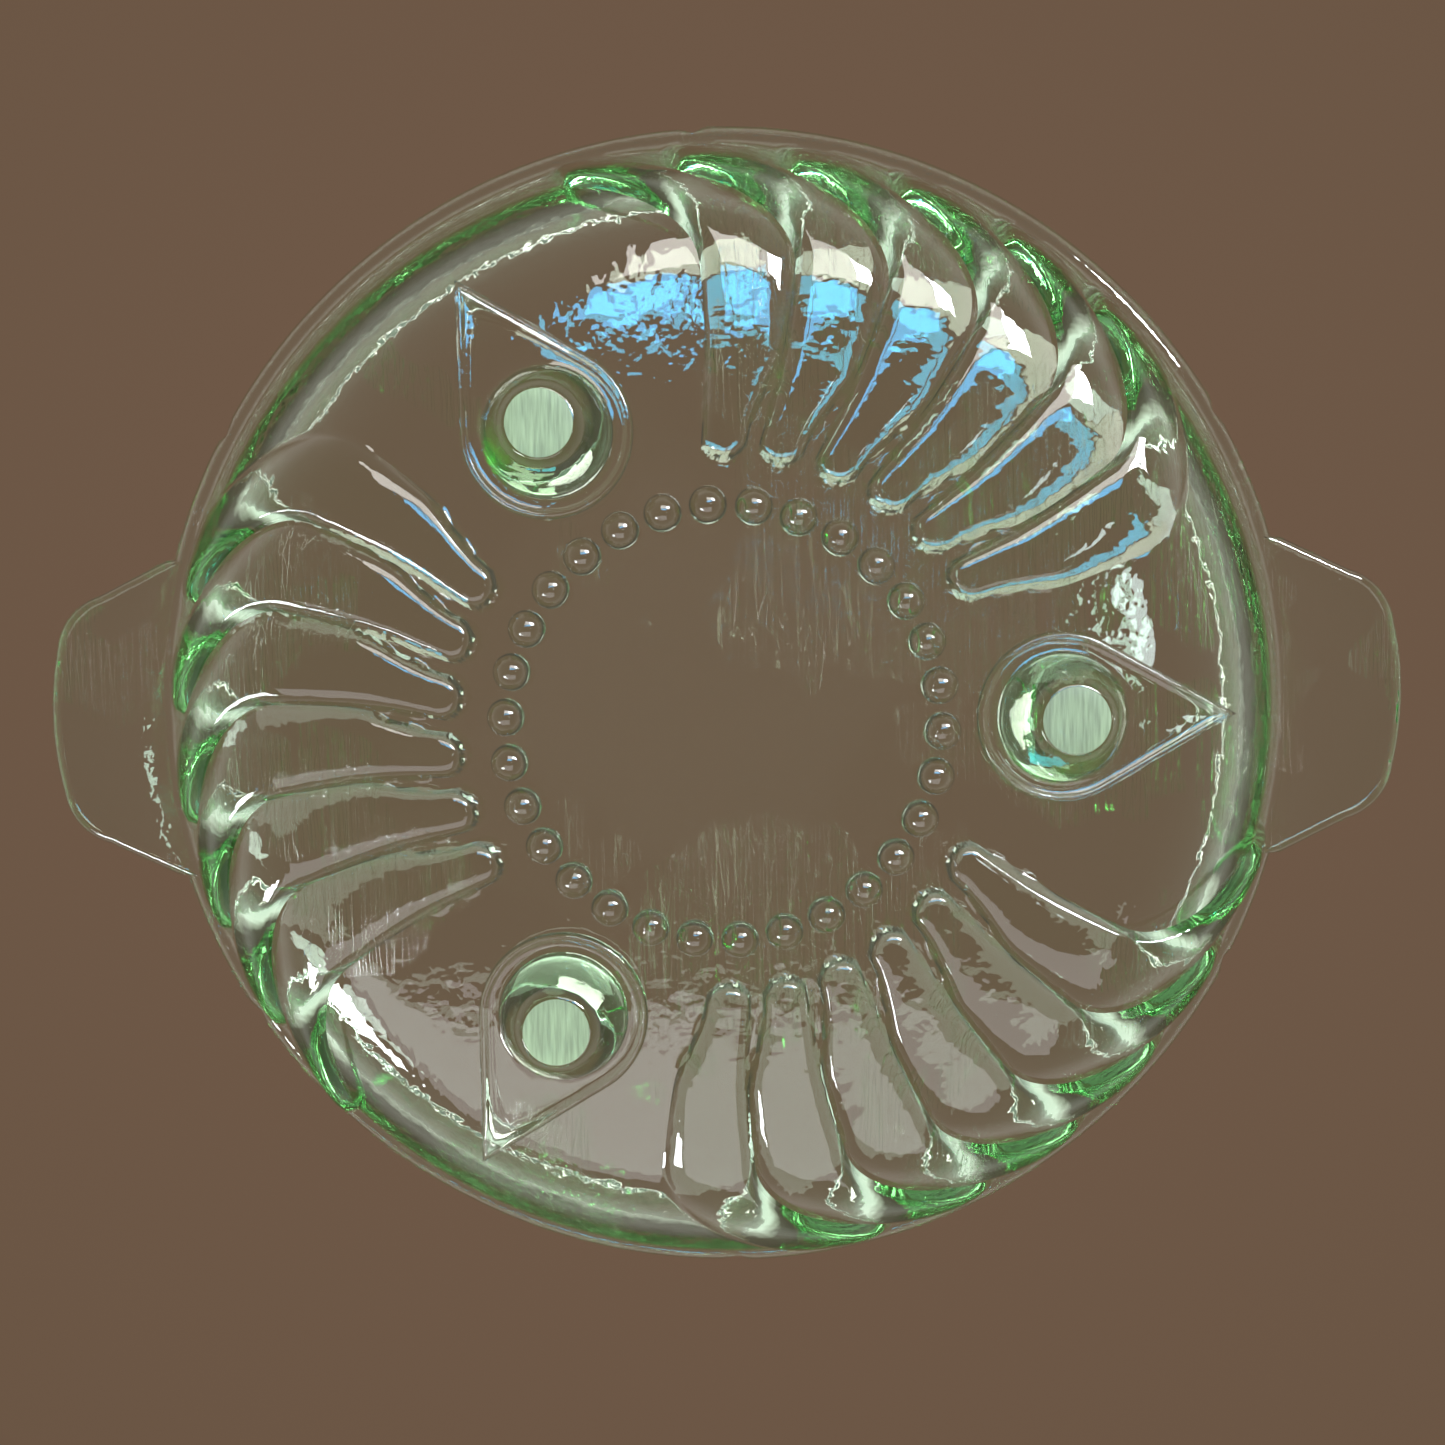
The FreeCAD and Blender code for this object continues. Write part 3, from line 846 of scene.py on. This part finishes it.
# the two lights above
DAYLIGHT_STRENGTH = 2.2
DAYLIGHT_SPREAD = 0.5
DAYLIGHT_TURN = (0.35, -0.4, 0.0)

KEY_PLACE = (-0.04, 0.06, 1.7)
KEY_TARGET = (0, 0, 0.03)
KEY_SIZE = (0.45, 0.45)
KEY_POWER = 8
KEY_COLOUR = (1.0, 0.97, 0.93)

# the softboxes under the floor, which the underside mirrors: name, place, size, radiance, colour
LOW_LEVEL = -0.9
WINDOW_BLUE = (0.10, 0.56, 1.0)
SPARKLE_WHITE = (0.90, 0.96, 1.0)
LOW_LIGHTS = (("window_left", (-0.085, -0.33), (0.10, 0.12), 16, WINDOW_BLUE),
              ("window_right", (0.215, -0.34), (0.46, 0.14), 16, WINDOW_BLUE),
              ("window_far", (0.16, -0.64), (0.58, 0.40), 10, (1.0, 0.98, 0.93)),
              ("fill_below", (-0.05, 0.62), (1.0, 0.66), 2.6, (0.97, 0.97, 1.0)),
              ("glint_below", (0.355, -0.03), (0.055, 0.10), 12, (0.80, 1.0, 0.98)),
              ("sparkle_right", (0.70, -0.64), (0.48, 0.34), 95, SPARKLE_WHITE),
              ("sparkle_left", (-0.85, 0.66), (0.40, 0.26), 45, SPARKLE_WHITE))

# the camera: place, direction, roll, focal length and sensor in millimetres, near limit
CAMERA_PLACE = Vector((0.00124, -0.0144, -0.2224))
CAMERA_FORWARD = Vector((-0.0064, 0.0608, 1.0))
CAMERA_ROLL = 0.0211
CAMERA_LENS = 34.7
SENSOR = 36.0
CAMERA_NEAR = 0.01


def one_sided_floor():
    """Floor paint that isn't there for light paths that come up through the floor.

    The underside of the dish can then be seen, with reflections of the lights under the floor.
    Transparent Depth counts the clear surfaces that a path has crossed. Rays towards a lamp that
    have crossed the glass count too, so they pass the floor as well.
    """
    material = bpy.data.materials.new("studio_floor")
    material.use_nodes = True
    nodes, links = material.node_tree.nodes, material.node_tree.links
    nodes.clear()
    out = nodes.new("ShaderNodeOutputMaterial")
    paint = nodes.new("ShaderNodeBsdfPrincipled")
    paint.inputs["Base Color"].default_value = FLOOR_COLOUR
    paint.inputs["Roughness"].default_value = FLOOR_ROUGHNESS
    clear = nodes.new("ShaderNodeBsdfTransparent")
    side = nodes.new("ShaderNodeNewGeometry")
    path = nodes.new("ShaderNodeLightPath")
    away = math_node(nodes, links, "MAXIMUM", side.outputs["Backfacing"],
                     path.outputs["Transparent Depth"])
    mix = nodes.new("ShaderNodeMixShader")
    links.new(away, mix.inputs["Fac"])
    links.new(paint.outputs["BSDF"], mix.inputs[1])
    links.new(clear.outputs["BSDF"], mix.inputs[2])
    links.new(mix.outputs[0], out.inputs["Surface"])
    return material


def lay_floor():
    """A plain level sheet just under the feet."""
    half = FLOOR_HALF
    corners = [(x, y, FLOOR_LEVEL) for x, y in ((-half, -half), (half, -half), (half, half),
                                                (-half, half))]
    floor = object_from("studio_floor", corners, [(0, 1, 2, 3)])
    floor.data.materials.append(one_sided_floor())


def softbox(name, place, target, size, power, colour):
    """A flat rectangular lamp that faces its target."""
    light = bpy.data.lights.new(name, "AREA")
    light.shape = "RECTANGLE"
    light.size, light.size_y = size
    light.energy = power
    light.color = colour
    lamp = bpy.data.objects.new(name, light)
    lamp.location = place
    lamp.rotation_euler = (Vector(target) - Vector(place)).to_track_quat("-Z", "Y").to_euler()
    bpy.context.scene.collection.objects.link(lamp)
    return lamp


def low_light(name, spot, size, radiance, colour):
    """A softbox that lies flat under the floor and shines straight up."""
    power = radiance * math.pi * size[0] * size[1]
    softbox(name, (*spot, LOW_LEVEL), (*spot, 0.0), size, power, colour)


def daylight():
    """A broad sun that lights the floor; glass neither mirrors nor shows it."""
    light = bpy.data.lights.new("daylight", "SUN")
    light.energy = DAYLIGHT_STRENGTH
    light.angle = DAYLIGHT_SPREAD
    sun = bpy.data.objects.new("daylight", light)
    sun.rotation_euler = DAYLIGHT_TURN
    sun.visible_transmission = False
    sun.visible_glossy = False
    bpy.context.scene.collection.objects.link(sun)


def key_above():
    """The lamp over the dish; it isn't seen through the glass, where it would make streaks."""
    key = softbox("key_above", KEY_PLACE, KEY_TARGET, KEY_SIZE, KEY_POWER, KEY_COLOUR)
    key.visible_transmission = False


def studio_world():
    """Surroundings whose brightness changes only with height."""
    world = bpy.data.worlds.new("studio")
    world.use_nodes = True
    nodes, links = world.node_tree.nodes, world.node_tree.links
    nodes.clear()
    out = nodes.new("ShaderNodeOutputWorld")
    sky = nodes.new("ShaderNodeBackground")
    place = nodes.new("ShaderNodeTexCoord")
    split = nodes.new("ShaderNodeSeparateXYZ")
    links.new(place.outputs["Generated"], split.inputs[0])
    ramp = nodes.new("ShaderNodeValToRGB")
    stops = ramp.color_ramp.elements
    stops[0].position, stops[0].color = WORLD_BANDS[0]
    stops[1].position, stops[1].color = WORLD_BANDS[-1]
    for position, colour in WORLD_BANDS[1:-1]:
        stops.new(position).color = colour
    level = math_node(nodes, links, "MULTIPLY_ADD", split.outputs["Z"], 0.5, 0.5)
    links.new(level, ramp.inputs["Fac"])
    links.new(ramp.outputs["Color"], sky.inputs["Color"])
    links.new(sky.outputs[0], out.inputs["Surface"])
    bpy.context.scene.world = world


def underside_camera():
    """Looks up at the underside, with the picture's top towards -Y."""
    camera = bpy.data.cameras.new("underside_camera")
    camera.lens = CAMERA_LENS
    camera.sensor_width = SENSOR
    camera.clip_start = CAMERA_NEAR
    eye = bpy.data.objects.new("underside_camera", camera)
    forward = CAMERA_FORWARD.normalized()
    level = Vector((math.cos(CAMERA_ROLL), math.sin(CAMERA_ROLL), 0.0))
    right = (level - level.dot(forward) * forward).normalized()
    up = right.cross(forward)
    turn = Matrix((right, up, -forward)).transposed()
    eye.matrix_world = Matrix.Translation(CAMERA_PLACE) @ turn.to_4x4()
    bpy.context.scene.collection.objects.link(eye)
    bpy.context.scene.camera = eye


def glass_light_paths(scene):
    """Enough bounces for light to leave the thick glass again, and plain colours."""
    scene.view_settings.view_transform = "Standard"
    scene.cycles.max_bounces = 24
    scene.cycles.transmission_bounces = 24
    scene.cycles.glossy_bounces = 12
    scene.cycles.transparent_max_bounces = 24
    scene.cycles.use_denoising = True


class DISH_OT_stage(bpy.types.Operator):
    """Set up the floor, the lights above and below, the surroundings and the camera"""
    bl_idname = "dish.stage"
    bl_label = "Stage"

    def execute(self, context):
        lay_floor()
        studio_world()
        daylight()
        key_above()
        for light in LOW_LIGHTS:
            low_light(*light)
        underside_camera()
        glass_light_paths(context.scene)
        return {"FINISHED"}


class DISH_PT_tools(bpy.types.Panel):
    """Sizes, glass and the steps that build the dish"""
    bl_label = "Pressed Glass Dish"
    bl_space_type = "VIEW_3D"
    bl_region_type = "UI"
    bl_category = "Dish"

    def draw(self, context):
        for settings in (context.scene.dish_sizes, context.scene.dish_glass):
            for name in settings.bl_rna.properties.keys():
                if name not in ("rna_type", "name"):
                    self.layout.prop(settings, name)
        for step in STEPS:
            self.layout.operator(step.bl_idname)


STEPS = (DISH_OT_bowl, DISH_OT_beads, DISH_OT_feet, DISH_OT_handles, DISH_OT_fuse, DISH_OT_stage)
CLASSES = (DishSizes, DishGlass) + STEPS + (DISH_PT_tools,)


def register():
    for cls in CLASSES:
        bpy.utils.register_class(cls)
    bpy.types.Scene.dish_sizes = bpy.props.PointerProperty(type=DishSizes)
    bpy.types.Scene.dish_glass = bpy.props.PointerProperty(type=DishGlass)


def unregister():
    del bpy.types.Scene.dish_glass
    del bpy.types.Scene.dish_sizes
    for cls in reversed(CLASSES):
        bpy.utils.unregister_class(cls)


def main():
    register()
    bpy.ops.dish.bowl()
    bpy.ops.dish.beads()
    bpy.ops.dish.feet()
    bpy.ops.dish.handles()
    bpy.ops.dish.fuse()
    bpy.ops.dish.stage()


if __name__ == "__main__":
    main()
